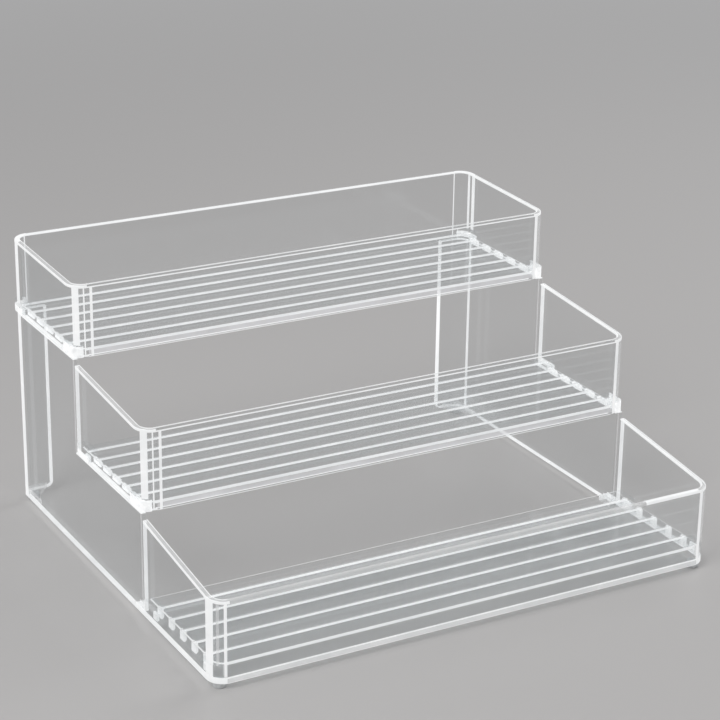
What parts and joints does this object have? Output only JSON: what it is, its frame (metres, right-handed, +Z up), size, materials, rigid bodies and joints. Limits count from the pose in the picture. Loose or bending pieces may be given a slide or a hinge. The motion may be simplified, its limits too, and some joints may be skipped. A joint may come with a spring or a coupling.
{
  "type": "stepped cosmetic organizer",
  "caption": "Clear stepped organizer: ribbed open trays lift off tabs on stepped side panels and a base plate, to hold and show cosmetics on a dressing table.",
  "frame": {"origin": "on the table, under the middle of the footprint", "axes": "+X to the right as seen from the front, +Y from the front to the rear, +Z up"},
  "size_m": [0.3, 0.2624, 0.1601],
  "materials": {
    "clear_plastic": "clear, polished, with bright edges",
    "foot_pad": "clear soft pad"
  },
  "bodies": {
    "stand": {"left_side_panel": "clear_plastic", "right_side_panel": "clear_plastic", "base_plate": "clear_plastic", "front_left_foot": "foot_pad", "front_right_foot": "foot_pad", "rear_left_foot": "foot_pad", "rear_right_foot": "foot_pad"},
    "bottom_tray": {"bottom_tray": "clear_plastic"},
    "middle_tray": {"middle_tray": "clear_plastic"},
    "top_tray": {"top_tray": "clear_plastic"}
  },
  "joints": [
    {"name": "bottom_tray_lift", "type": "slide", "parent": "stand", "child": "bottom_tray", "axis": [0, 0, 1], "range_m": [0, 0.04]},
    {"name": "middle_tray_lift", "type": "slide", "parent": "stand", "child": "middle_tray", "axis": [0, 0, 1], "range_m": [0, 0.04]},
    {"name": "top_tray_lift", "type": "slide", "parent": "stand", "child": "top_tray", "axis": [0, 0, 1], "range_m": [0, 0.04]}
  ]
}
